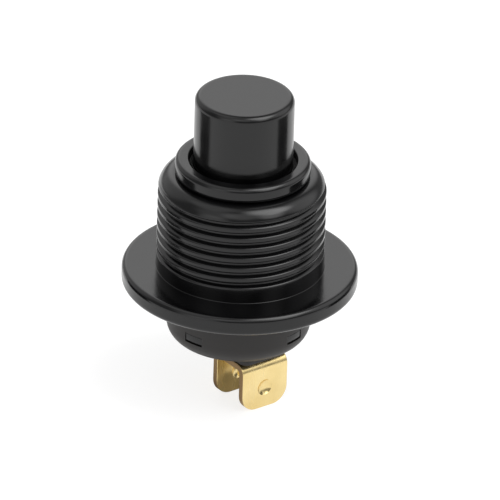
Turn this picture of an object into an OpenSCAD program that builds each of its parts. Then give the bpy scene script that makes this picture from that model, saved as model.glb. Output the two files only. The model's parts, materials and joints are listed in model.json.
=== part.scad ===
// Panel-mounted momentary push button with a threaded barrel, a fixed flange and two blade terminals.
// The origin is on the axis, in the flange's panel face. +Z points to the button cap.

/* [Barrel] */
// Major diameter of the barrel thread (5/8 in)
thread_d = 15.875; // [15:0.005:17]
// Pitch of the barrel thread (24 per inch)
thread_pitch = 1.0583; // [0.9:0.0001:1.2]
// Number of thread grooves on the barrel
thread_grooves = 7; // [4:1:7]
// Height of the barrel above the panel face
barrel_h = 9.65; // [9.6:0.05:12]
// Height of the plain barrel next to the flange
pilot_h = 1.54; // [1.3:0.02:1.6]
// Radius of the rounded shoulder at the top of the barrel
shoulder_r = 1.6; // [1.2:0.1:1.6]

/* [Flange and skirt] */
// Diameter of the flange (7/8 in)
flange_d = 22.26; // [20:0.02:26]
// Thickness of the flange
flange_t = 1.84; // [1.6:0.02:2]
// Rounding of the flange's two edges
flange_edge_r = 0.5; // [0.2:0.05:0.7]
// Diameter of the rear skirt and the base
skirt_d = 13.6; // [13.5:0.1:14.5]
// Depth of the housing's skirt below the panel face
skirt_depth = 3.8; // [3.5:0.1:4]

/* [Button] */
// Diameter of the button cap
cap_d = 9.4; // [9.3:0.02:9.5]
// Height of the cap's top above the panel face
cap_top = 17.87; // [17:0.01:19]
// Rounding of the cap's top edge
cap_edge_r = 0.6; // [0.3:0.05:0.9]
// Stroke of the button
stroke = 2.8; // [2:0.1:2.8]

/* [Guide bush] */
// Diameter of the bush's collar
collar_d = 12.8; // [12.4:0.1:13]
// Height of the bush's collar
collar_h = 1.6; // [1.4:0.05:1.8]
// Rounding of the collar's edges
collar_edge_r = 0.5; // [0.2:0.05:0.6]

/* [Base] */
// Depth of the base's rear face below the panel face
base_depth = 7.5; // [7.3:0.1:8.5]
// Thickness of the base's floor
base_floor = 1.4; // [1.2:0.1:1.6]
// Rounding of the base's rear edge
base_edge_r = 1.7; // [0.8:0.1:1.8]
// Height of the pad that the terminals sit on
pad_h = 0.9; // [0.6:0.1:1.2]
// Turn of the latches from the terminals' line, in degrees
latch_turn = 15; // [0:1:40]

/* [Terminals] */
// Width of a terminal blade
blade_w = 5.2; // [4.6:0.1:5.4]
// Thickness of the terminal strip
blade_t = 0.64; // [0.5:0.02:0.7]
// Length of a terminal from the top of its foot to its tip
blade_len = 4.9; // [4.6:0.1:7]
// Diameter of the detent pressed into a blade's outer face
detent_d = 1.64; // [1.4:0.02:2]
// Distance between the two rivets
rivet_pitch = 4.1; // [4.1:0.05:4.6]

/* [Contacts] */
// Gap between the contact disc and the contact tips at rest
contact_gap = 2.03; // [1.8:0.01:2.1]
// Diameter of the contact disc
disc_d = 7.6; // [7.2:0.1:8]

/* [Hidden] */
$fn = 96;

black = [0.09, 0.09, 0.1];
thread_r = thread_d / 2;
flange_r = flange_d / 2;
skirt_r = skirt_d / 2;
cap_r = cap_d / 2;
collar_r = collar_d / 2;
run = 0.07;                                  // radial running clearance of the moving pieces
rest_gap = 0.02;                             // gap between moving faces that rest on each other
lap = 0.2;                                   // depth by which joined shapes run into each other
over = 1;                                    // length by which a cut runs past what it cuts

// thread groove: a 60 degree V with a flat root, shallower than a cut thread because it is moulded
groove_depth = 0.4 * thread_pitch;
groove_root = thread_pitch / 8;
flank_angle = 30;
groove_mouth = groove_root + 2 * groove_depth * tan(flank_angle);
lowest_groove_z = pilot_h + groove_mouth / 2;
groove_over = 0.1;
groove_over_w = groove_over * tan(flank_angle);

// bores inside the housing, from the top down
bush_r = 5.4;
bush_foot_z = barrel_h - 1.4;
chamber_r = 5.25;
web_top_z = 1;
web_bottom_z = 0;
spigot_r = 2;
contact_room_r = 5;

// guide bush
bush_bore_r = cap_r + run;
well_r = 5.13;
well_h = 1;
seal_h = 0.5;
seal_gap = 0.05;

// plunger
plunger_flange_h = 1.2;
plunger_flange_top = bush_foot_z - rest_gap;
plunger_flange_z = plunger_flange_top - plunger_flange_h;
plunger_head_r = 3.4;
plunger_head_top = cap_top - 1.6;

// springs
wire_fn = 24;
tie_share = 0.6;                             // radius of the bar that ties the hoops, in wire radii
wire_r = 0.28;
coil_r = 3.4;
coils = 5;
washer_t = 0.3;
washer_in_r = 2.4;
washer_out_r = 5.1;
spring_floor_z = web_top_z + washer_t;

// contact stack, from the base's floor up
floor_z = -base_depth + base_floor;
tip_r = 0.9;
rivet_head_h = 0.5;
tip_h = 0.4;
tip_top_z = floor_z + rivet_head_h + tip_h;
disc_z = tip_top_z + contact_gap;
disc_t = 0.6;
fibre_t = 0.3;
fibre_top_z = disc_z + disc_t + fibre_t;
pin_r = 0.55;
pin_head_r = 0.9;
pin_head_h = 0.5;
pin_top_z = 5.6;
seat_t = 0.3;
seat_r = 1.9;
contact_wire_r = 0.15;
contact_coil_r = 1.35;
contact_coils = 3;

// base and its latches
latch_count = 4;
gasket_t = 0.12;
gasket_in_r = 6;
gasket_inset = 0.08;
rim_z = -skirt_depth - gasket_t;
base_bore_r = 5.9;
tongue_r = 5.8;
tongue_in_r = 5.1;
tongue_w = 2.6;
tongue_z = floor_z + 0.1;
tongue_root_z = -skirt_depth + 0.5;
window_w = 2;
window_z = tongue_z + 0.1;
window_top_z = window_z + 0.9;
barb_w = 1.8;
barb_z = window_z + 0.05;
barb_top_z = window_top_z - 0.1;
barb_out = 0.92;
barb_lead = 0.25;
pin_well_r = 1.1;
pin_well_depth = floor_z - (disc_z - pin_head_h - stroke) + 0.4;

// terminals and rivets
pad_z = -base_depth - pad_h;
pad_w = 5;
pad_l = 9;
pad_r = 0.8;
blade_out = 2.43;
foot_back = 1.1;
bend_r = 1;
corner_r = 1.65;
detent_drop = 2.8;
detent_depth = 0.3;
detent_ball_r = (pow(detent_d / 2, 2) + pow(detent_depth, 2)) / (2 * detent_depth);
shank_r = 0.7;
rivet_tail_r = 1;
rivet_tail_h = 0.45;

// ---- shared shapes -------------------------------------------------------------------------

// half-plane block from radius r0 to r1 and from height z0 to z1
module band(r0, r1, z0, z1) {
    translate([r0, z0]) square([r1 - r0, z1 - z0]);
}

// the same block from the axis out to r1, with its outer corners rounded by e
module round_band(r1, z0, z1, e) {
    band(0, r1 - e, z0, z1);
    band(0, r1, z0 + e, z1 - e);
    translate([r1 - e, z0 + e]) circle(e);
    translate([r1 - e, z1 - e]) circle(e);
}

module ring(r0, r1, z0, z1) {
    rotate_extrude() band(r0, r1, z0, z1);
}

// round wire wound as closed hoops, one for each coil, tied by a thin bar so that it is one solid
module coil_stack(mean_r, wire, count, z0, z1) {
    step = (z1 - z0 - 2 * wire) / (count - 1);
    for (i = [0 : count - 1])
        translate([0, 0, z0 + wire + i * step])
            rotate_extrude() translate([mean_r, 0]) circle(wire, $fn = wire_fn);
    translate([mean_r, 0, z0 + wire]) cylinder(r = wire * tie_share, h = z1 - z0 - 2 * wire, $fn = wire_fn);
}

// the children, repeated around the axis for every latch
module at_latches() {
    for (i = [0 : latch_count - 1])
        rotate(latch_turn + i * 360 / latch_count) children();
}

// ---- housing and guide bush ----------------------------------------------------------------

module barrel_profile() {
    difference() {
        union() {
            band(0, thread_r, 0, barrel_h - shoulder_r);
            band(0, thread_r - shoulder_r, 0, barrel_h);
            translate([thread_r - shoulder_r, barrel_h - shoulder_r]) circle(shoulder_r);
        }
        for (i = [0 : thread_grooves - 1])
            translate([thread_r, lowest_groove_z + i * thread_pitch])
                polygon([
                    [-groove_depth, -groove_root / 2], [groove_over, -groove_mouth / 2 - groove_over_w],
                    [groove_over, groove_mouth / 2 + groove_over_w], [-groove_depth, groove_root / 2]
                ]);
    }
}

module housing_profile() {
    difference() {
        union() {
            barrel_profile();
            round_band(flange_r, -flange_t, 0, flange_edge_r);
            band(0, skirt_r, -skirt_depth, -flange_t / 2);
        }
        band(0, bush_r, bush_foot_z, barrel_h + over);
        band(0, chamber_r, web_top_z, barrel_h);
        band(0, spigot_r + run, -skirt_depth - over, barrel_h);
        band(0, contact_room_r, -skirt_depth - over, web_bottom_z);
    }
}

module tongue() {
    intersection() {
        ring(tongue_in_r, tongue_r, tongue_z, tongue_root_z);
        translate([0, -tongue_w / 2, tongue_z]) cube([skirt_r, tongue_w, tongue_root_z - tongue_z]);
    }
    translate([tongue_r, barb_w / 2, 0]) rotate([90, 0, 0])
        linear_extrude(barb_w)
            polygon([
                [-lap, barb_z], [0, barb_z], [barb_out, barb_z + barb_lead],
                [barb_out, barb_top_z], [-lap, barb_top_z]
            ]);
}

module housing() {
    color(black) {
        rotate_extrude() housing_profile();
        at_latches() tongue();
    }
}

module guide_bush() {
    color(black) rotate_extrude() difference() {
        union() {
            round_band(collar_r, barrel_h, barrel_h + collar_h, collar_edge_r);
            band(0, bush_r, bush_foot_z, barrel_h + collar_h / 2);
        }
        band(0, bush_bore_r, bush_foot_z - over, barrel_h + collar_h + over);
        band(0, well_r, barrel_h + collar_h - well_h, barrel_h + collar_h + over);
    }
}

module wiper_seal() {
    well_floor = barrel_h + collar_h - well_h;
    color([0.05, 0.05, 0.05]) ring(cap_r + seal_gap, well_r, well_floor, well_floor + seal_h);
}

// ---- moving button -------------------------------------------------------------------------

module button_cap() {
    color(black) rotate_extrude() difference() {
        union() {
            band(0, cap_r, plunger_flange_top, cap_top - cap_edge_r);
            band(0, cap_r - cap_edge_r, plunger_flange_top, cap_top);
            translate([cap_r - cap_edge_r, cap_top - cap_edge_r]) circle(cap_edge_r);
        }
        band(0, plunger_head_r, plunger_flange_top - over, plunger_head_top);
    }
}

module plunger() {
    color([0.84, 0.82, 0.76]) rotate_extrude() difference() {
        union() {
            band(0, plunger_head_r, plunger_flange_top, plunger_head_top);
            band(0, chamber_r - run, plunger_flange_z, plunger_flange_top);
            band(0, spigot_r, web_bottom_z, plunger_flange_z);
        }
        band(0, pin_r, web_bottom_z - over, pin_top_z);
    }
}

module return_spring() {
    color([0.75, 0.76, 0.78]) coil_stack(coil_r, wire_r, coils, spring_floor_z, plunger_flange_z);
}

module spring_washer() {
    color([0.7, 0.7, 0.72]) ring(washer_in_r, washer_out_r, web_top_z, spring_floor_z);
}

// ---- moving contact ------------------------------------------------------------------------

module contact_pin() {
    color([0.8, 0.65, 0.3]) {
        translate([0, 0, disc_z - pin_head_h]) cylinder(r = pin_head_r, h = pin_head_h);
        translate([0, 0, disc_z - pin_head_h]) cylinder(r = pin_r, h = pin_top_z - disc_z + pin_head_h);
    }
}

module spring_seat() {
    color([0.7, 0.7, 0.72]) ring(pin_r, seat_r, web_bottom_z - seat_t, web_bottom_z);
}

module contact_spring() {
    color([0.75, 0.76, 0.78])
        coil_stack(contact_coil_r, contact_wire_r, contact_coils, fibre_top_z, web_bottom_z - seat_t);
}

module fibre_washer() {
    color([0.6, 0.25, 0.18]) ring(pin_r + run, spigot_r, disc_z + disc_t, fibre_top_z);
}

module contact_disc() {
    color([0.8, 0.5, 0.35]) ring(pin_r + run, disc_d / 2, disc_z + rest_gap, disc_z + disc_t);
}

// ---- base ----------------------------------------------------------------------------------

module base_gasket() {
    color([0.05, 0.05, 0.05]) ring(gasket_in_r, skirt_r - gasket_inset, rim_z, -skirt_depth);
}

module base_shell() {
    rotate_extrude() difference() {
        union() {
            band(0, skirt_r, -base_depth + base_edge_r, rim_z);
            band(0, skirt_r - base_edge_r, -base_depth, rim_z);
            translate([skirt_r - base_edge_r, -base_depth + base_edge_r]) circle(base_edge_r);
        }
        band(0, base_bore_r, floor_z, 0);
        band(0, pin_well_r, floor_z - pin_well_depth, 0);
    }
}

module pad() {
    translate([0, 0, pad_z]) linear_extrude(pad_h + lap) {
        square([pad_w, pad_l - 2 * pad_r], center = true);
        square([pad_w - 2 * pad_r, pad_l], center = true);
        for (x = [-1, 1], y = [-1, 1])
            translate([x * (pad_w / 2 - pad_r), y * (pad_l / 2 - pad_r)]) circle(pad_r);
    }
}

module base() {
    color(black) difference() {
        union() {
            base_shell();
            pad();
        }
        at_latches() translate([base_bore_r - lap, -window_w / 2, window_z])
            cube([skirt_r - base_bore_r + 2 * lap, window_w, window_top_z - window_z]);
        for (s = [-1, 1])
            translate([0, s * rivet_pitch / 2, pad_z - over])
                cylinder(r = shank_r, h = floor_z - pad_z + 2 * over);
    }
}

// ---- terminals and contacts ----------------------------------------------------------------

// side outline of the strip, in the plane of Y and Z with the rivet at y = 0
module strip_side() {
    tip_z = pad_z - blade_len;
    difference() {
        union() {
            translate([-blade_out, pad_z - blade_t])
                square([blade_out + foot_back, blade_t]);
            translate([-blade_out, tip_z]) square([blade_t, blade_len]);
        }
        difference() {
            translate([-blade_out - over, pad_z - bend_r]) square([bend_r + over, bend_r + over]);
            translate([-blade_out + bend_r, pad_z - bend_r]) circle(bend_r);
        }
    }
}

// front outline of the blade, with two rounded lower corners
module blade_front() {
    tip_z = pad_z - blade_len;
    translate([-blade_w / 2, tip_z + corner_r]) square([blade_w, blade_len]);
    translate([-blade_w / 2 + corner_r, tip_z]) square([blade_w - 2 * corner_r, corner_r * 2]);
    for (s = [-1, 1])
        translate([s * (blade_w / 2 - corner_r), tip_z + corner_r]) circle(corner_r);
}

module terminal(y) {
    color([0.85, 0.68, 0.3]) translate([0, y, 0]) difference() {
        intersection() {
            rotate([90, 0, 90]) translate([0, 0, -blade_w / 2]) linear_extrude(blade_w) strip_side();
            union() {
                rotate([90, 0, 0]) linear_extrude(2 * blade_out + over, center = true) blade_front();
                translate([-blade_w / 2, -blade_out - over, pad_z - blade_t - lap])
                    cube([blade_w, blade_out + foot_back + 2 * over, blade_t + 2 * lap]);
            }
        }
        translate([0, 0, pad_z - blade_t - over]) cylinder(r = shank_r, h = blade_t + 2 * over);
        translate([0, detent_depth - blade_out - detent_ball_r, pad_z - detent_drop]) sphere(detent_ball_r);
    }
}

module rivet(y) {
    tail_z = pad_z - blade_t - rivet_tail_h;
    color([0.8, 0.6, 0.35]) translate([0, y, 0]) {
        translate([0, 0, tail_z]) cylinder(r = rivet_tail_r, h = rivet_tail_h);
        translate([0, 0, tail_z]) cylinder(r = shank_r, h = floor_z - tail_z + lap);
        translate([0, 0, floor_z]) cylinder(r = tip_r, h = rivet_head_h);
    }
}

module contact_tip(y) {
    color([0.85, 0.86, 0.88]) translate([0, y, floor_z + rivet_head_h]) cylinder(r = tip_r, h = tip_h);
}

module front_terminal() { terminal(-rivet_pitch / 2); }
module rear_terminal() { terminal(rivet_pitch / 2); }
module front_rivet() { rivet(-rivet_pitch / 2); }
module rear_rivet() { rivet(rivet_pitch / 2); }
module front_contact_tip() { contact_tip(-rivet_pitch / 2); }
module rear_contact_tip() { contact_tip(rivet_pitch / 2); }

housing();
guide_bush();
wiper_seal();
button_cap();
plunger();
return_spring();
spring_washer();
contact_pin();
spring_seat();
contact_spring();
fibre_washer();
contact_disc();
base_gasket();
base();
front_terminal();
rear_terminal();
front_rivet();
rear_rivet();
front_contact_tip();
rear_contact_tip();
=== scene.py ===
"""Looks of a panel-mounted push button: turned and moulded shells, a true helical thread, brass blades.

Shapes are worked out in millimetres, in the part's own frame, and turned into metres when a mesh is made.
"""

import json
from math import asin, cos, pi, radians, sin, tan, tau

import bmesh
import bpy
from mathutils import Matrix, Vector


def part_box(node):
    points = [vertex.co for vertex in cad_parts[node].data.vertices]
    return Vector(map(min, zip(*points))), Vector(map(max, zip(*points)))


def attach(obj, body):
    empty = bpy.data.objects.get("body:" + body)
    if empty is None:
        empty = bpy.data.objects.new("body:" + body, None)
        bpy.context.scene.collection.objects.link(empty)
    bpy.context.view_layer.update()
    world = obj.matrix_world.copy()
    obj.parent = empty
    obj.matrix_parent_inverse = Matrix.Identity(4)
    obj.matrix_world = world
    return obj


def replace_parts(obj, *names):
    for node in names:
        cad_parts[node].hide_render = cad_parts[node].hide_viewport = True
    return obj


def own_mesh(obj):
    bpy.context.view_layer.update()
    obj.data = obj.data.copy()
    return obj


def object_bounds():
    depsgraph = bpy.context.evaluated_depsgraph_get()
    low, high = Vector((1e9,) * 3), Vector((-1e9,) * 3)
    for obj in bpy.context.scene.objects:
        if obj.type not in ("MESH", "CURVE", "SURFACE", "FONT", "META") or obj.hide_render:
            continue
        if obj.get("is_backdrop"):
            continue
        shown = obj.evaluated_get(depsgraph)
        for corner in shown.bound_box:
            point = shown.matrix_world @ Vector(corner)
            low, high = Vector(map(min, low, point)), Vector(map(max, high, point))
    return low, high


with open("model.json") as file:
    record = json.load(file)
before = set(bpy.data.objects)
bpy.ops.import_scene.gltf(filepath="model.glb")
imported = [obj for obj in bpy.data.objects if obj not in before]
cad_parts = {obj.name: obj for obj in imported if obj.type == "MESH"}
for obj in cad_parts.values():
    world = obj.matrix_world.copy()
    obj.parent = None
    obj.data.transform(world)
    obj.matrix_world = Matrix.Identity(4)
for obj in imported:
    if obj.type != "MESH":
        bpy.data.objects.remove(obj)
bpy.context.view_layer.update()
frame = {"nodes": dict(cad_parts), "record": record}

MM = 0.001
SEGMENTS = 240          # steps round a turned shape
ARC_STEPS = 8           # steps in a rounded corner
SAME_POINT = 1e-4       # points closer than this are merged
OVER = 1                # length by which a drill runs past what it cuts


def node_box(node):
    """Lowest and highest corner of a CAD node, in millimetres."""
    lo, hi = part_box(node)
    return lo / MM, hi / MM


# ---- sizes ----------------------------------------------------------------------------------
# What a node's box gives is read from it. The rest repeats the dimensions of the CAD part, except that the
# thread's groove is a little deeper and wider and the latches' barbs fill their windows more closely.

housing_lo, housing_hi = node_box("housing")
bush_lo, bush_hi = node_box("guide_bush")
seal_lo, seal_hi = node_box("wiper_seal")
cap_lo, cap_hi = node_box("button_cap")
washer_lo, _ = node_box("spring_washer")
gasket_lo, gasket_hi = node_box("base_gasket")
base_lo, base_hi = node_box("base")
terminal_lo, terminal_hi = node_box("front_terminal")
rivet_lo, rivet_hi = node_box("front_rivet")
return_lo, return_hi = node_box("return_spring")
contact_lo, contact_hi = node_box("contact_spring")

FLANGE_R = housing_hi.x
FLANGE_T = 1.84
FLANGE_EDGE_R = 0.5
BARREL_TOP = housing_hi.z
SHOULDER_R = 1.6
SKIRT_R = base_hi.x
SKIRT_BOTTOM = gasket_hi.z
CONTACT_ROOM_R = 5.0
CHAMBER_R = 5.25
GUIDE_R = 2.07
WEB_TOP = washer_lo.z
TONGUE_BOTTOM = housing_lo.z
TONGUE_ROOT = SKIRT_BOTTOM + 0.3
TONGUE_R = CONTACT_ROOM_R + 0.1, 5.8
TONGUE_W = 2.6
BARB_W = 1.94
BARB_ROOT = TONGUE_R[1] - 0.1
BARB_R = 6.74
BARB_Z = -5.88, -5.03
BARB_LEAD = 0.12        # height of the slope under a barb
LATCH_TURN = 15         # degrees from the +X side to the first latch
LATCHES = 4

THREAD_R = 7.9375
PITCH = 25.4 / 24
GROOVE_DEPTH = 0.42 * PITCH
GROOVE_FLAT = 0.085     # half width of the groove's root, in pitches
GROOVE_FLANK = 0.25     # width of one flank, in pitches
THREAD_PHASE = 0.636    # height of a crest's middle at the +X side
THREAD_START = 1.25
THREAD_END = 8.85
RUN_OUT = 0.48          # height over which the thread fades out at each end
ROWS_PER_PITCH = 26

BUSH_R = 5.4
BUSH_FOOT = bush_lo.z
COLLAR_R = bush_hi.x
COLLAR_TOP = bush_hi.z
COLLAR_EDGE_R = 0.5
WELL_R = seal_hi.x
CAP_R = cap_hi.x
BUSH_BORE_R = CAP_R + 0.07
LIP_R = CAP_R + 0.05    # inside of the wiper seal's lip
CAP_TOP = cap_hi.z
CAP_WALL_IN_R = 3.4
CAP_ROOF = 1.6
CAP_EDGE_R = 0.6

RIM_Z = base_hi.z
BASE_BOTTOM = -7.5
BASE_EDGE_R = 1.7
BASE_FLOOR = -6.1
BASE_BORE_R = 5.9
GASKET_BORE_R = BASE_BORE_R + 0.1
PIN_WELL_R = 1.1
PIN_WELL_Z = -6.87
WINDOW_W = 2.0
WINDOW_Z = -5.9, -5.0
WINDOW_R = BASE_BORE_R + 0.5
WINDOW_CUT = 2          # depth of a window's cut, more than the wall
PAD_ROOT = BASE_BOTTOM + 0.3
PAD_Z = base_lo.z
PAD_W = 5.0
PAD_L = 9.0
PAD_CORNER_R = 0.8

STRIP_T = 0.64
STRIP_OUT = 2.43        # from the rivet's axis to the blade's outer face
STRIP_BACK = 1.1        # from the rivet's axis to the foot's end
BEND_R = 1.0            # outside of the bend
FOOT_CORNER_R = 0.3
BLADE_CORNER_R = 1.65
DETENT_DROP = 2.8       # from the base's pad down to the detent
DETENT_R = 0.82
DETENT_DEPTH = 0.3
SHANK_R = 0.7           # the holes that the rivets go through
SHANK_GAP = 0.02
RIVET_HEAD_R = 0.9
RIVET_HEAD_H = 0.5
RIVET_TAIL_R = 1.0
RIVET_DIMPLE = 0.16     # depth of the dimple in the rolled tail
RIVET_Y = (rivet_lo.y + rivet_hi.y) / 2

RETURN_WIRE_R = 0.28
CONTACT_WIRE_R = 0.15


# ---- outlines -------------------------------------------------------------------------------


def rounded(corners, steps=ARC_STEPS):
    """Closed outline with round corners. A corner is (x, y) or (x, y, radius)."""
    points = []
    count = len(corners)
    for i, corner in enumerate(corners):
        here = Vector(corner[:2])
        radius = corner[2] if len(corner) > 2 else 0
        if radius == 0:
            points.append(here)
            continue
        back = (Vector(corners[i - 1][:2]) - here).normalized()
        ahead = (Vector(corners[(i + 1) % count][:2]) - here).normalized()
        half = back.angle(ahead) / 2
        reach = radius / tan(half)
        centre = here + (back + ahead).normalized() * radius / sin(half)
        first = here + back * reach - centre
        last = here + ahead * reach - centre
        turn = -first.angle_signed(last)
        for k in range(steps + 1):
            points.append(centre + Matrix.Rotation(turn * k / steps, 2) @ first)
    return points


def with_supports(points, near=0.06):
    """The outline with a point close to both ends of each long side, so that its shading stays flat."""
    out = []
    for i, p in enumerate(points):
        q = points[(i + 1) % len(points)]
        out.append(p)
        length = (q - p).length
        if length > 6 * near:
            out.append(p.lerp(q, near / length))
            out.append(p.lerp(q, 1 - near / length))
    return out


# ---- meshes ---------------------------------------------------------------------------------


def smooth_except(bm, sharp):
    """Shades bm smooth, except across edges sharper than the given angle."""
    for f in bm.faces:
        f.smooth = True
    for e in bm.edges:
        e.smooth = len(e.link_faces) != 2 or e.calc_face_angle(0) < radians(sharp)


def link_mesh(name, bm, sharp=40):
    """An object from bm, in metres."""
    bmesh.ops.remove_doubles(bm, verts=bm.verts, dist=SAME_POINT)
    bmesh.ops.dissolve_degenerate(bm, edges=bm.edges, dist=SAME_POINT / 10)
    bmesh.ops.recalc_face_normals(bm, faces=bm.faces)
    smooth_except(bm, sharp)
    bm.transform(Matrix.Scale(MM, 4))
    mesh = bpy.data.meshes.new(name)
    bm.to_mesh(mesh)
    bm.free()
    obj = bpy.data.objects.new(name, mesh)
    bpy.context.scene.collection.objects.link(obj)
    return obj


def bridge_rings(bm, rings, closed):
    """Quads between neighbouring rings of points, and from the last ring to the first if closed."""
    count = len(rings[0])
    pairs = list(zip(rings, rings[1:]))
    if closed:
        pairs.append((rings[-1], rings[0]))
    for low, high in pairs:
        for j in range(count):
            k = (j + 1) % count
            bm.faces.new((low[j], low[k], high[k], high[j]))


def turn_outline(bm, outline, centre=(0, 0), segments=SEGMENTS, closed=True):
    """Adds an outline of (radius, height) turned round a vertical axis."""
    angles = [tau * j / segments for j in range(segments)]
    rings = [
        [bm.verts.new((centre[0] + p.x * cos(a), centre[1] + p.x * sin(a), p.y)) for a in angles]
        for p in outline
    ]
    on_axis = outline[0].x < SAME_POINT and outline[-1].x < SAME_POINT
    bridge_rings(bm, rings, closed and not on_axis)


def turned(name, corners, centre=(0, 0), segments=SEGMENTS, steps=ARC_STEPS):
    """A turned shape from its half section's corners: (radius, height), and a third value to round one."""
    bm = bmesh.new()
    turn_outline(bm, with_supports(rounded(corners, steps)), centre, segments)
    return link_mesh(name, bm)


def block(name, size, centre, turn=0):
    """A box of that size round its centre, then turned by that many degrees about the Z axis."""
    bm = bmesh.new()
    bmesh.ops.create_cube(bm, size=1)
    placed = Matrix.Translation(centre) @ Matrix.Diagonal((*size, 1))
    bm.transform(Matrix.Rotation(radians(turn), 4, "Z") @ placed)
    return link_mesh(name, bm)


def combine(obj, other, operation):
    """Joins other to obj, or cuts it from obj, and removes other."""
    mod = obj.modifiers.new("combine", "BOOLEAN")
    mod.operation = operation
    mod.solver = "EXACT"
    mod.object = other
    evaluated = obj.evaluated_get(bpy.context.evaluated_depsgraph_get())
    obj.data = bpy.data.meshes.new_from_object(evaluated)
    obj.modifiers.clear()
    bpy.data.objects.remove(other)
    return obj


def resmooth(obj, sharp=40):
    """Shades a finished object smooth, except across its sharp edges."""
    bm = bmesh.new()
    bm.from_mesh(obj.data)
    smooth_except(bm, sharp)
    bm.to_mesh(obj.data)
    bm.free()
    return obj


def swept_tube(name, path, radius, sides=14):
    """A round wire along a path of points, with flat ends."""
    bm = bmesh.new()
    rings = []
    for i, p in enumerate(path):
        tangent = (path[min(i + 1, len(path) - 1)] - path[max(i - 1, 0)]).normalized()
        side = tangent.cross(Vector((0, 0, 1))).normalized()
        up = side.cross(tangent)
        rings.append([
            bm.verts.new(p + radius * (side * cos(tau * k / sides) + up * sin(tau * k / sides)))
            for k in range(sides)
        ])
    bridge_rings(bm, rings, False)
    bm.faces.new(rings[0])
    bm.faces.new(rings[-1])
    return link_mesh(name, bm, sharp=60)


# ---- housing --------------------------------------------------------------------------------


def groove_share(phase):
    """Depth of the thread at a phase of the pitch, from 0 on the crest to 1 in the root.

    The mean over neighbouring phases rounds the corners of a groove with straight flanks.
    """
    def straight(v):
        away = abs(v % 1 - 0.5)
        return min(1, max(0, 1 - (away - GROOVE_FLAT) / GROOVE_FLANK))
    shifts = (-0.03, -0.015, 0, 0.015, 0.03)
    return sum(straight(phase + d) for d in shifts) / len(shifts)


def shoulder_angle(z):
    """Angle on the shoulder's arc at a height."""
    return asin(max(0, (z - BARREL_TOP + SHOULDER_R) / SHOULDER_R))


def barrel_radius(z):
    """The unthreaded barrel's radius at a height: a cylinder under a rounded shoulder."""
    return THREAD_R - SHOULDER_R + SHOULDER_R * cos(shoulder_angle(z))


def thread_point(turn, row):
    """Height and radius of a row of the helical surface, a share of a turn round from the +X side."""
    phase = row / ROWS_PER_PITCH
    z = THREAD_PHASE + (phase + turn) * PITCH
    fade = min(1, max(0, min(z - THREAD_START, THREAD_END - z) / RUN_OUT))
    depth = GROOVE_DEPTH * groove_share(phase) * fade * fade * (3 - 2 * fade)
    z = min(THREAD_END, max(THREAD_START, z))
    return z, barrel_radius(z) - depth


def add_thread(bm):
    """The threaded band of the barrel, as columns of points that climb one pitch in a turn."""
    rows = int((THREAD_END - THREAD_PHASE) / PITCH + 1) * ROWS_PER_PITCH
    columns = []
    for j in range(SEGMENTS):
        a = tau * j / SEGMENTS
        column = []
        for i in range(-ROWS_PER_PITCH, rows):
            z, r = thread_point(j / SEGMENTS, i)
            column.append(bm.verts.new((r * cos(a), r * sin(a), z)))
        columns.append(column)
    top = len(columns[0]) - 1
    # The last column ends up a pitch above the first, so it meets the rows that lie a pitch further on.
    for j, here in enumerate(columns):
        seam = ROWS_PER_PITCH if j == SEGMENTS - 1 else 0
        right = columns[(j + 1) % SEGMENTS]
        for i in range(top):
            low, high = min(i + seam, top), min(i + 1 + seam, top)
            corners = list(dict.fromkeys((here[i], right[low], right[high], here[i + 1])))
            if len(corners) > 2:
                bm.faces.new(corners)


def add_sector(bm, outline, angle, half_angle, steps=10):
    """Adds a closed outline of (radius, height) swept through part of a turn, with both ends closed."""
    rings = []
    for k in range(steps + 1):
        a = angle - half_angle + 2 * half_angle * k / steps
        rings.append([bm.verts.new((p.x * cos(a), p.x * sin(a), p.y)) for p in outline])
    bridge_rings(bm, rings, False)
    bm.faces.new(rings[0])
    bm.faces.new(rings[-1])


def make_housing():
    """Threaded barrel, flange and skirt in one moulding."""
    bm = bmesh.new()
    add_thread(bm)
    arc_r = THREAD_R - SHOULDER_R
    # The last corner only lets the first one be rounded: the shoulder's arc takes its place.
    outline = rounded([
        (THREAD_R, 0, 0.05), (FLANGE_R, 0, FLANGE_EDGE_R), (FLANGE_R, -FLANGE_T, FLANGE_EDGE_R),
        (SKIRT_R, -FLANGE_T, 0.15), (SKIRT_R, SKIRT_BOTTOM, 0.05), (CONTACT_ROOM_R, SKIRT_BOTTOM, 0.1),
        (CONTACT_ROOM_R, 0, 0.2), (GUIDE_R, 0, 0.1), (GUIDE_R, WEB_TOP, 0.1), (CHAMBER_R, WEB_TOP, 0.1),
        (CHAMBER_R, BUSH_FOOT, 0.05), (BUSH_R, BUSH_FOOT, 0.04), (BUSH_R, BARREL_TOP, 0.08),
        (arc_r, BARREL_TOP), (THREAD_R, BARREL_TOP - SHOULDER_R),
    ])[:-1]
    arc_centre = Vector((arc_r, BARREL_TOP - SHOULDER_R))
    last = shoulder_angle(THREAD_END)
    steps = 14
    for k in range(1, steps + 1):
        a = pi / 2 + (last - pi / 2) * k / steps
        outline.append(arc_centre + SHOULDER_R * Vector((cos(a), sin(a))))
    # The outline is open along the thread, so the supports of its closing side are dropped.
    outline = with_supports([Vector((THREAD_R, THREAD_START))] + outline)[:-2]
    turn_outline(bm, outline, closed=False)
    return link_mesh("housing_shell", bm, sharp=50)


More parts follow.
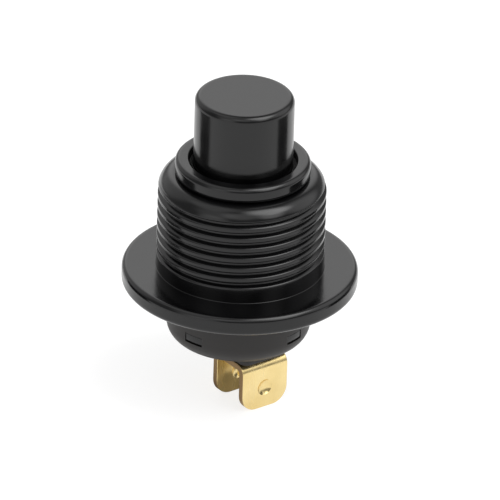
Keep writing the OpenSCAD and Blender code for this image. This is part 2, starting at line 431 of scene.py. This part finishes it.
def make_latches():
    """The housing's four tongues, each with a barb that catches in a window of the base."""
    bm = bmesh.new()
    tongue = rounded([
        (TONGUE_R[0], TONGUE_ROOT), (TONGUE_R[0], TONGUE_BOTTOM, 0.1),
        (TONGUE_R[1], TONGUE_BOTTOM, 0.15), (TONGUE_R[1], TONGUE_ROOT),
    ], steps=4)
    barb = rounded([
        (BARB_ROOT, BARB_Z[0]), (TONGUE_R[1], BARB_Z[0]), (BARB_R, BARB_Z[0] + BARB_LEAD, 0.08),
        (BARB_R, BARB_Z[1], 0.08), (BARB_ROOT, BARB_Z[1]),
    ], steps=4)
    for i in range(LATCHES):
        angle = radians(LATCH_TURN) + tau * i / LATCHES
        add_sector(bm, tongue, angle, TONGUE_W / 2 / TONGUE_R[1])
        add_sector(bm, barb, angle, BARB_W / 2 / BARB_R)
    return link_mesh("housing_latches", bm)


# ---- other mouldings ------------------------------------------------------------------------


def make_bush():
    """The sleeve that the cap slides in, with the raised collar on top."""
    return turned("guide_bush_ring", [
        (BUSH_R, BUSH_FOOT, 0.1), (BUSH_R, BARREL_TOP, 0.03), (COLLAR_R, BARREL_TOP, COLLAR_EDGE_R),
        (COLLAR_R, COLLAR_TOP, COLLAR_EDGE_R), (WELL_R, COLLAR_TOP, 0.15), (WELL_R, seal_lo.z, 0.05),
        (BUSH_BORE_R, seal_lo.z, 0.1), (BUSH_BORE_R, BUSH_FOOT, 0.1),
    ])


def make_seal():
    """The rubber ring in the collar's well, thinning to a lip at the cap."""
    edge = 0.12
    lip = 0.2
    return turned("wiper_ring", [
        (LIP_R + edge, seal_lo.z, 0.05), (WELL_R, seal_lo.z, 0.03), (WELL_R, seal_hi.z - edge, 0.08),
        (LIP_R + lip, seal_hi.z - lip, 0.06), (LIP_R, seal_hi.z, 0.03), (LIP_R, seal_lo.z + lip, 0.05),
    ])


def make_cap():
    """The cap: flat on top, hollow underneath for the plunger's head."""
    return turned("button_cap_shell", [
        (0, CAP_TOP - CAP_ROOF), (CAP_WALL_IN_R, CAP_TOP - CAP_ROOF, 0.1), (CAP_WALL_IN_R, cap_lo.z, 0.1),
        (CAP_R, cap_lo.z, 0.15), (CAP_R, CAP_TOP, CAP_EDGE_R), (0, CAP_TOP),
    ], steps=12)


def make_pad(edge=0.12, steps=4):
    """The raised pad on the base's rear face, with softened lower edges."""
    bm = bmesh.new()
    levels = [(0, PAD_ROOT)]
    for k in range(steps + 1):
        a = pi / 2 * k / steps
        levels.append((edge * (1 - cos(a)), PAD_Z + edge * (1 - sin(a))))
    rings = []
    for inset, z in levels:
        half_w, half_l, corner = PAD_W / 2 - inset, PAD_L / 2 - inset, PAD_CORNER_R - inset
        outline = rounded([
            (-half_w, -half_l, corner), (half_w, -half_l, corner),
            (half_w, half_l, corner), (-half_w, half_l, corner),
        ])
        rings.append([bm.verts.new((p.x, p.y, z)) for p in outline])
    bridge_rings(bm, rings, False)
    bm.faces.new(rings[0])
    bm.faces.new(rings[-1])
    return link_mesh("pad", bm)


def make_base():
    """The rear cover: a cup with a rounded rim, the terminals' pad, rivet holes and four latch windows."""
    cover = turned("base_cover", [
        (0, BASE_BOTTOM), (SKIRT_R, BASE_BOTTOM, BASE_EDGE_R), (SKIRT_R, RIM_Z, 0.05),
        (BASE_BORE_R, RIM_Z, 0.1), (BASE_BORE_R, BASE_FLOOR, 0.2), (PIN_WELL_R, BASE_FLOOR, 0.08),
        (PIN_WELL_R, PIN_WELL_Z, 0.08), (0, PIN_WELL_Z),
    ], steps=12)
    combine(cover, make_pad(), "UNION")
    drill = [(0, PAD_Z - OVER), (SHANK_R, PAD_Z - OVER), (SHANK_R, RIM_Z), (0, RIM_Z)]
    for y in (-RIVET_Y, RIVET_Y):
        combine(cover, turned("hole", drill, (0, y), segments=48), "DIFFERENCE")
    window_size = WINDOW_CUT, WINDOW_W, WINDOW_Z[1] - WINDOW_Z[0]
    window_centre = WINDOW_R, 0, (WINDOW_Z[0] + WINDOW_Z[1]) / 2
    for i in range(LATCHES):
        window = block("window", window_size, window_centre, LATCH_TURN + 360 * i / LATCHES)
        combine(cover, window, "DIFFERENCE")
    return resmooth(cover)


def make_gasket():
    """The flat ring between the skirt and the base."""
    return turned("gasket_ring", [
        (gasket_hi.x, gasket_lo.z, 0.05), (gasket_hi.x, gasket_hi.z, 0.05),
        (GASKET_BORE_R, gasket_hi.z), (GASKET_BORE_R, gasket_lo.z),
    ], steps=4)


# ---- terminals, rivets and springs ----------------------------------------------------------


def flat_strip(name, loops, edge=0.08):
    """A bmesh of the strip before it is bent: outline and hole cut from sheet, with softened edges."""
    curve = bpy.data.curves.new(name, "CURVE")
    curve.dimensions = "2D"
    curve.fill_mode = "BOTH"
    curve.extrude = STRIP_T / 2 - edge
    curve.bevel_depth = edge
    curve.bevel_resolution = 3
    curve.offset = -edge
    for loop in loops:
        spline = curve.splines.new("POLY")
        spline.points.add(len(loop) - 1)
        for p, q in zip(spline.points, loop):
            p.co = q[0], q[1], 0, 1
        spline.use_cyclic_u = True
    flat = bpy.data.objects.new(name, curve)
    bpy.context.scene.collection.objects.link(flat)
    mesh = bpy.data.meshes.new_from_object(flat.evaluated_get(bpy.context.evaluated_depsgraph_get()))
    bpy.data.objects.remove(flat)
    bm = bmesh.new()
    bm.from_mesh(mesh)
    return bm


def make_strip(name, y):
    """An L-shaped terminal: cut flat, bent down at its outer end, and pressed with a round detent."""
    width = terminal_hi.x - terminal_lo.x
    mid_r = BEND_R - STRIP_T / 2
    foot = STRIP_BACK + STRIP_OUT - BEND_R
    arc = mid_r * pi / 2
    length = foot + arc + PAD_Z - BEND_R - terminal_lo.z
    outline = rounded([
        (0, -width / 2, FOOT_CORNER_R), (length, -width / 2, BLADE_CORNER_R),
        (length, width / 2, BLADE_CORNER_R), (0, width / 2, FOOT_CORNER_R),
    ], steps=14)
    sides = 40
    hole = [
        (STRIP_BACK + SHANK_R * cos(tau * k / sides), SHANK_R * sin(tau * k / sides))
        for k in range(sides)
    ]
    bm = flat_strip(name, [outline, hole])
    cuts = 12
    for k in range(cuts + 1):
        geom = bm.verts[:] + bm.edges[:] + bm.faces[:]
        cut_at = foot + arc * k / cuts, 0, 0
        bmesh.ops.bisect_plane(bm, geom=geom, plane_co=cut_at, plane_no=(1, 0, 0), dist=SAME_POINT / 10)
    y_arc = y - STRIP_OUT + BEND_R
    z_arc = PAD_Z - BEND_R
    # A flat point is s along the strip, x across it and n off its middle plane.
    for v in bm.verts:
        s, x, n = v.co
        if s <= foot:
            v.co = x, y + STRIP_BACK - s, PAD_Z - STRIP_T / 2 + n
        elif s <= foot + arc:
            a = (s - foot) / mid_r
            v.co = x, y_arc - (mid_r + n) * sin(a), z_arc + (mid_r + n) * cos(a)
        else:
            v.co = x, y_arc - mid_r - n, z_arc - (s - foot - arc)
    strip = link_mesh(name, bm)
    combine(strip, make_punch(y - STRIP_OUT, PAD_Z - DETENT_DROP), "DIFFERENCE")
    return resmooth(strip, sharp=30)


def make_punch(y, z):
    """The ball that presses a detent into a blade whose outer face is at y."""
    ball_r = (DETENT_R ** 2 + DETENT_DEPTH ** 2) / (2 * DETENT_DEPTH)
    centre = 0, y + DETENT_DEPTH - ball_r, z
    bm = bmesh.new()
    bmesh.ops.create_uvsphere(bm, u_segments=96, v_segments=64, radius=ball_r)
    bm.transform(Matrix.Translation(centre) @ Matrix.Rotation(pi / 2, 4, "X"))
    return link_mesh("punch", bm)


def make_rivet(name, y):
    """A rivet through the base, its tail rolled over the terminal's foot."""
    tail = rivet_lo.z
    dimple = tail + RIVET_DIMPLE
    foot = PAD_Z - STRIP_T
    head = BASE_FLOOR + RIVET_HEAD_H
    shank = SHANK_R - SHANK_GAP
    return turned(name, [
        (0, dimple), (0.3, dimple, 0.1), (0.5, tail, 0.12), (RIVET_TAIL_R, tail + 0.02, 0.25),
        (RIVET_TAIL_R, foot, 0.05), (shank, foot), (shank, BASE_FLOOR),
        (RIVET_HEAD_R, BASE_FLOOR, 0.05), (RIVET_HEAD_R, head, 0.05), (0, head),
    ], (0, y), segments=72)


def make_spring(name, lo, hi, wire, turns, closed):
    """A compression spring of wire of that radius, its outside and height as in the CAD node.

    The first and the last closed turns climb one wire's thickness a turn, and the open ones the rest.
    """
    mean = hi.x - wire
    steps = 56
    rise = hi.z - lo.z - 2 * wire
    open_turns = turns - 2 * closed
    open_rise = rise - 4 * closed * wire
    path = []
    for k in range(int(turns * steps) + 1):
        t = k / steps
        flat = min(t, closed) + max(0, t - turns + closed)
        open_share = min(max(t - closed, 0), open_turns) / open_turns
        z = lo.z + wire + flat * 2 * wire + open_share * open_rise
        path.append(Vector((mean * cos(tau * t), mean * sin(tau * t), z)))
    return swept_tube(name, path, wire)


# ---- materials ------------------------------------------------------------------------------
# A noise's scale is in waves per metre.

NOISE_RANGE = 0.3, 0.7      # most of a noise's values lie between these
PLASTIC_IOR = 1.45
PLASTIC_CLOUD = 260
PLASTIC_GRAIN = 2600
METAL_CLOUD = 300
METAL_GRAIN = 900
METAL_BUMP = 0.15
EDGE_AND_SHADE_MASK = 0.6, 0.9        # a normal's sideways part where a cut edge and its painted shade begin, and where they are full


def nodes_of(name):
    """A new material, its node tree, its shader and its object coordinates."""
    mat = bpy.data.materials.new(name)
    mat.use_nodes = True
    tree = mat.node_tree
    coords = tree.nodes.new("ShaderNodeTexCoord").outputs["Object"]
    return mat, tree, tree.nodes["Principled BSDF"], coords


def noise(tree, coords, scale, detail=3.0, stretch=(1, 1, 1)):
    """A noise whose pattern is long along each axis where stretch is small."""
    mapping = tree.nodes.new("ShaderNodeMapping")
    mapping.inputs["Scale"].default_value = [s * scale for s in stretch]
    tree.links.new(coords, mapping.inputs["Vector"])
    tex = tree.nodes.new("ShaderNodeTexNoise")
    tex.inputs["Scale"].default_value = 1
    tex.inputs["Detail"].default_value = detail
    tree.links.new(mapping.outputs["Vector"], tex.inputs["Vector"])
    return tex.outputs["Fac"]


def two_tone(tree, value, dark, light):
    """Turns a noise into colours from dark to light."""
    node = tree.nodes.new("ShaderNodeValToRGB")
    for item, position, colour in zip(node.color_ramp.elements, NOISE_RANGE, (dark, light)):
        item.position = position
        item.color = (*colour, 1)
    tree.links.new(value, node.inputs["Fac"])
    return node.outputs["Color"]


def spread(tree, value, low, high):
    """Turns a noise into values from low to high."""
    node = tree.nodes.new("ShaderNodeMapRange")
    node.inputs["From Min"].default_value = NOISE_RANGE[0]
    node.inputs["From Max"].default_value = NOISE_RANGE[1]
    node.inputs["To Min"].default_value = low
    node.inputs["To Max"].default_value = high
    tree.links.new(value, node.inputs["Value"])
    return node.outputs["Result"]


def bumped(tree, bsdf, value, strength, distance=0.00002):
    """Bumps the surface by a noise, up to that distance in metres."""
    node = tree.nodes.new("ShaderNodeBump")
    node.inputs["Strength"].default_value = strength
    node.inputs["Distance"].default_value = distance
    tree.links.new(value, node.inputs["Height"])
    tree.links.new(node.outputs["Normal"], bsdf.inputs["Normal"])


def plastic(name, dark, light, rough, bump=0.1):
    """Moulded plastic or rubber, with faint broad tone changes and a fine surface grain."""
    mat, tree, bsdf, coords = nodes_of(name)
    broad = noise(tree, coords, PLASTIC_CLOUD)
    fine = noise(tree, coords, PLASTIC_GRAIN, detail=4)
    tree.links.new(two_tone(tree, broad, dark, light), bsdf.inputs["Base Color"])
    tree.links.new(spread(tree, broad, *rough), bsdf.inputs["Roughness"])
    bumped(tree, bsdf, fine, bump)
    bsdf.inputs["IOR"].default_value = PLASTIC_IOR
    return mat


def metal(name, dark, light, rough, stretch=(1, 1, 1)):
    """Bare metal with a tarnish pattern and a grain that may be drawn out along one axis."""
    mat, tree, bsdf, coords = nodes_of(name)
    grain = noise(tree, coords, METAL_GRAIN, detail=5, stretch=stretch)
    broad = noise(tree, coords, METAL_CLOUD)
    tree.links.new(two_tone(tree, broad, dark, light), bsdf.inputs["Base Color"])
    tree.links.new(spread(tree, grain, *rough), bsdf.inputs["Roughness"])
    bumped(tree, bsdf, grain, METAL_BUMP)
    bsdf.inputs["Metallic"].default_value = 1
    return mat


def shear_edges_and_shade(mat, colour, rough):
    """Makes the cut edges of a stamped strip, which face sideways, duller and rougher than its faces, as
    sheared metal is, and darkens their colour to a dark brown, which is painted shade on the sides that
    the light misses.
    """
    tree = mat.node_tree
    inputs = tree.nodes["Principled BSDF"].inputs
    parts = tree.nodes.new("ShaderNodeSeparateXYZ")
    tree.links.new(tree.nodes.new("ShaderNodeTexCoord").outputs["Normal"], parts.inputs["Vector"])
    sideways = tree.nodes.new("ShaderNodeMath")
    sideways.operation = "ABSOLUTE"
    tree.links.new(parts.outputs["X"], sideways.inputs[0])
    edge_and_shade_mask = tree.nodes.new("ShaderNodeMapRange")
    edge_and_shade_mask.inputs["From Min"].default_value = EDGE_AND_SHADE_MASK[0]
    edge_and_shade_mask.inputs["From Max"].default_value = EDGE_AND_SHADE_MASK[1]
    tree.links.new(sideways.outputs["Value"], edge_and_shade_mask.inputs["Value"])
    # The colour mixed in here is painted shade; the roughness is the cut edge's own.
    for socket, kind, value in (("Base Color", "RGBA", (*colour, 1)), ("Roughness", "FLOAT", rough)):
        mix = tree.nodes.new("ShaderNodeMix")
        mix.data_type = kind
        sides = [i for i in mix.inputs if i.enabled and i.name in "AB"]
        tree.links.new(inputs[socket].links[0].from_socket, sides[0])
        sides[1].default_value = value
        tree.links.new(edge_and_shade_mask.outputs["Result"], mix.inputs["Factor"])
        tree.links.new([o for o in mix.outputs if o.enabled][0], inputs[socket])


BLACK = plastic("black_moulding", (0.0015, 0.0015, 0.0017), (0.003, 0.003, 0.0033), (0.14, 0.2))
BLACK_CAP = plastic("black_cap_moulding", (0.0015, 0.0015, 0.0017), (0.0035, 0.0035, 0.0035), (0.16, 0.22))
BLACK_BASE = plastic("black_base_moulding", (0.010, 0.0085, 0.0078), (0.015, 0.0128, 0.0118), (0.44, 0.54))
RUBBER = plastic("seal_rubber", (0.008, 0.008, 0.008), (0.014, 0.014, 0.014), (0.6, 0.8), 0.4)
ACETAL = plastic("natural_acetal", (0.55, 0.53, 0.47), (0.66, 0.64, 0.58), (0.35, 0.5))
FIBRE = plastic("red_fibre", (0.28, 0.06, 0.03), (0.42, 0.11, 0.06), (0.6, 0.8), 0.5)
BRASS = metal("stamped_brass", (0.77, 0.59, 0.26), (0.87, 0.7, 0.35), (0.17, 0.32), (1, 1, 0.12))
# Dark brown painted shade on the blades' side edges, together with the sheared edges' rougher finish.
shear_edges_and_shade(BRASS, (0.3, 0.2, 0.1), 0.6)
RIVET_BRASS = metal("clinched_brass", (0.66, 0.45, 0.18), (0.82, 0.6, 0.28), (0.25, 0.4))
PIN_BRASS = metal("turned_brass", (0.7, 0.5, 0.2), (0.85, 0.64, 0.3), (0.18, 0.3), (0.1, 0.1, 1))
COPPER = metal("stamped_copper", (0.7, 0.32, 0.18), (0.85, 0.45, 0.28), (0.22, 0.35))
SILVER = metal("contact_silver", (0.8, 0.79, 0.76), (0.92, 0.91, 0.88), (0.15, 0.3))
WIRE = metal("spring_wire", (0.45, 0.45, 0.46), (0.6, 0.6, 0.61), (0.2, 0.32))
ZINC = metal("zinc_plate", (0.5, 0.5, 0.5), (0.66, 0.66, 0.67), (0.28, 0.42))


# ---- assembly -------------------------------------------------------------------------------


def dress(obj, body, material, replaced):
    """Gives a piece its material, its body and the CAD node that it stands for."""
    obj.data.materials.clear()
    obj.data.materials.append(material)
    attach(obj, body)
    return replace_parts(obj, replaced)


dress(make_housing(), "root", BLACK, "housing")
dress(make_latches(), "root", BLACK, "housing")
dress(make_bush(), "root", BLACK, "guide_bush")
dress(make_seal(), "root", RUBBER, "wiper_seal")
dress(make_cap(), "button", BLACK_CAP, "button_cap")
dress(make_base(), "root", BLACK_BASE, "base")
dress(make_gasket(), "root", RUBBER, "base_gasket")

for end, y in (("front", RIVET_Y), ("rear", -RIVET_Y)):
    dress(make_strip(end + "_blade", y), "root", BRASS, end + "_terminal")
    dress(make_rivet(end + "_rivet_turned", y), "root", RIVET_BRASS, end + "_rivet")

return_coil = dress(
    make_spring("return_coil", return_lo, return_hi, RETURN_WIRE_R, turns=4, closed=0.8),
    "root", WIRE, "return_spring",
)
contact_coil = dress(
    make_spring("contact_coil", contact_lo, contact_hi, CONTACT_WIRE_R, turns=2.9, closed=0.6),
    "bridge", WIRE, "contact_spring",
)

CAD_MATERIALS = {
    "plunger": ACETAL, "spring_washer": ZINC, "contact_pin": PIN_BRASS, "spring_seat": ZINC,
    "fibre_washer": FIBRE, "contact_disc": COPPER, "front_contact_tip": SILVER, "rear_contact_tip": SILVER,
}
for node, material in CAD_MATERIALS.items():
    mesh = frame["nodes"][node].data
    mesh.materials.clear()
    mesh.materials.append(material)

strokes = {joint["name"]: joint["range_m"][1] / MM for joint in frame["record"]["behaviour"]["joints"]}
press = strokes["button_press"]
squeeze = press - strokes["contact_close"]


for coil, lo, hi, loss in (
    (return_coil, return_lo, return_hi, press),
    (contact_coil, contact_lo, contact_hi, squeeze),
):
    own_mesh(coil)


# ---- stage, light and camera ----------------------------------------------------------------

CAMERA_AZIMUTH = -37
CAMERA_ELEVATION = 28.3
CAMERA_ROLL = radians(1.75)
CAMERA_DISTANCE = 2.0   # in metres
FRAME_WIDTH = 0.04704   # width of the picture at the object, in metres
AIM = 0.944, 1.27       # picture's centre, to the right of and above the origin, in millimetres

MATTE = 0.9             # roughness of the floor and the cards
FLOOR_Z = terminal_lo.z - 0.02
FLOOR_REACH = 1500      # half the floor's width
FLOOR_GLOW = 0.75       # a light table's own brightness
CARD_SIZE = 0.3, 22, 16
CARD_X = 35             # distance of the black cards from the axis, to each side
CARD_Y = 5              # and away from the camera
SHADE_R = 5.2           # radius of the grey card under the terminals
SHADE_T = 0.01
SHADE_Y = 1.5           # place of its middle


def around(azimuth, elevation):
    """A direction. Azimuth 0 is the -Y side and 90 the +X side."""
    a, e = radians(azimuth), radians(elevation)
    return Vector((sin(a) * cos(e), -cos(a) * cos(e), sin(e)))


def matte_grey(name, scale, low, high):
    """A matte grey material, faintly mottled at that scale, and its shader."""
    mat, tree, bsdf, coords = nodes_of(name)
    tone = noise(tree, coords, scale)
    tree.links.new(two_tone(tree, tone, (low,) * 3, (high,) * 3), bsdf.inputs["Base Color"])
    bsdf.inputs["Roughness"].default_value = MATTE
    return mat, bsdf


def make_floor():
    """A white light table: mostly its own glow, so that the object's shadow stays faint."""
    bm = bmesh.new()
    bmesh.ops.create_grid(bm, x_segments=1, y_segments=1, size=FLOOR_REACH)
    bm.transform(Matrix.Translation((0, 0, FLOOR_Z)))
    floor = link_mesh("floor", bm)
    mat, bsdf = matte_grey("pale_floor", 8, 0.33, 0.36)
    bsdf.inputs["Specular IOR Level"].default_value = 0
    bsdf.inputs["Emission Color"].default_value = (1, 1, 1, 1)
    bsdf.inputs["Emission Strength"].default_value = FLOOR_GLOW
    floor.data.materials.append(mat)
    floor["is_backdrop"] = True


def stage_card(card, low, high):
    """Puts a grey card on the stage that is seen only in reflections."""
    mat, _ = matte_grey(card.name, 40, low, high)
    card.data.materials.append(mat)
    card.visible_camera = False
    card.visible_shadow = False
    card.visible_diffuse = False
    card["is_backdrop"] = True


def make_cards():
    """Black cards at the sides draw the dark lines down round shapes; a grey one shades the terminals."""
    for side in (-1, 1):
        centre = side * CARD_X, CARD_Y, FLOOR_Z + CARD_SIZE[2] / 2
        stage_card(block("black_card", CARD_SIZE, centre, CAMERA_AZIMUTH), 0.02, 0.03)
    bottom = FLOOR_Z + 0.01
    top = bottom + SHADE_T
    outline = [(0, bottom), (SHADE_R, bottom), (SHADE_R, top), (0, top)]
    stage_card(turned("shade_card", outline, (0, SHADE_Y)), 0.42, 0.52)


def arithmetic(tree, operation, a, b):
    """A math node's result. Each input is a number or another node's output."""
    node = tree.nodes.new("ShaderNodeMath")
    node.operation = operation
    for socket, value in zip(node.inputs, (a, b)):
        if isinstance(value, (int, float)):
            socket.default_value = value
        else:
            tree.links.new(value, socket)
    return node.outputs["Value"]


def lobe(tree, direction, azimuth, elevation, even, gone, radiance):
    """A soft round light in the sky, which fades between even and gone degrees from its centre."""
    dot = tree.nodes.new("ShaderNodeVectorMath")
    dot.operation = "DOT_PRODUCT"
    dot.inputs[1].default_value = around(CAMERA_AZIMUTH + azimuth, elevation)
    tree.links.new(direction, dot.inputs[0])
    fade = tree.nodes.new("ShaderNodeMapRange")
    fade.interpolation_type = "SMOOTHSTEP"
    fade.inputs["From Min"].default_value = cos(radians(gone))
    fade.inputs["From Max"].default_value = cos(radians(even))
    fade.inputs["To Max"].default_value = radiance
    tree.links.new(dot.outputs["Value"], fade.inputs["Value"])
    return fade.outputs["Result"]


DIM_ROOM = 0.3          # brightness of the studio where no light is

# Soft lights as (azimuth from the camera, elevation, even within, gone at, radiance), in degrees.
SOFT_LIGHTS = [
    (68, 64, 6, 26, 4.4),      # the key light, in two overlapping parts
    (47, 38, 4, 20, 2.2),
    (0, 48, 10, 26, 0.9),      # over the camera
    (-38, 12, 8, 26, 0.9),     # a tall one at the left, in two parts
    (-42, 44, 10, 30, 0.6),
    (-100, 70, 8, 24, 0.8),    # two fills from the left and behind
    (-135, 30, 15, 36, 0.5),
    (102, 36, 14, 38, 1.1),    # a wide one at the right
    (180, 26, 10, 28, 1.15),   # the back wall, which the flat faces mirror
]


def make_studio():
    """A dim room and large soft lights, as one sky."""
    world = bpy.data.worlds.new("studio")
    world.use_nodes = True
    tree = world.node_tree
    direction = tree.nodes.new("ShaderNodeTexCoord").outputs["Generated"]
    total = DIM_ROOM
    for light in SOFT_LIGHTS:
        total = arithmetic(tree, "ADD", total, lobe(tree, direction, *light))
    tree.links.new(total, tree.nodes["Background"].inputs["Color"])
    bpy.context.scene.world = world


def make_camera():
    """A long lens, rolled a little, that looks down at the object."""
    back = around(CAMERA_AZIMUTH, CAMERA_ELEVATION)
    level_right = Vector((0, 0, 1)).cross(back).normalized()
    level_up = back.cross(level_right)
    right = level_right * cos(CAMERA_ROLL) + level_up * sin(CAMERA_ROLL)
    up = level_up * cos(CAMERA_ROLL) - level_right * sin(CAMERA_ROLL)
    data = bpy.data.cameras.new("camera")
    data.sensor_width = 36
    data.lens = data.sensor_width * CAMERA_DISTANCE / FRAME_WIDTH
    data.clip_start, data.clip_end = 0.01, 20
    cam = bpy.data.objects.new("camera", data)
    cam.matrix_world = Matrix((right, up, back)).transposed().to_4x4()
    cam.location = (right * AIM[0] + up * AIM[1]) * MM + back * CAMERA_DISTANCE
    bpy.context.scene.collection.objects.link(cam)
    bpy.context.scene.camera = cam


make_floor()
make_cards()
make_studio()
make_camera()
bpy.context.scene.view_settings.view_transform = "Standard"

lo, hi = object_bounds()
